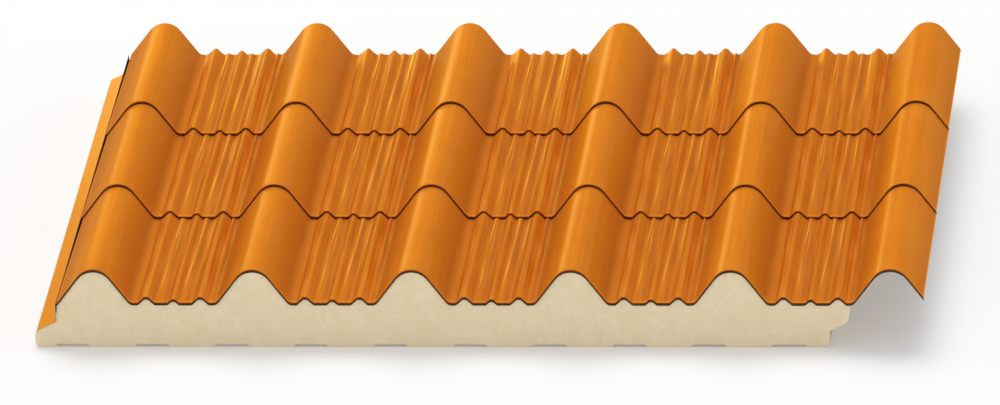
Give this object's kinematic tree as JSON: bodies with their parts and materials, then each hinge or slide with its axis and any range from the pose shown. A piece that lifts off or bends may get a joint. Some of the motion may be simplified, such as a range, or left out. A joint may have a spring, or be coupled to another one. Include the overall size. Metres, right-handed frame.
{
  "type": "insulated roof panel",
  "caption": "Insulated roof panel: stepped tile-profile painted steel over rigid foam with a shallow-ribbed inner sheet, a hollow lap rib on one side and an underlap flange on the other.",
  "frame": {"origin": "bottom centre of the bounding box, on the plane of the underside's low lands", "axes": "+X across the panel towards the hollow lap rib, +Y up the slope from the nose of the lowest tile course, +Z out of the roof"},
  "size_m": [1.1168, 1.05, 0.1045],
  "materials": {
    "outer_paint": "satin orange coil coating",
    "foam": "cut face of rigid cream foam",
    "inner_paint": "matt cream coil coating"
  },
  "bodies": {
    "root": {"outer_sheet": "outer_paint", "foam_core": "foam", "inner_sheet": "inner_paint"}
  },
  "joints": []
}
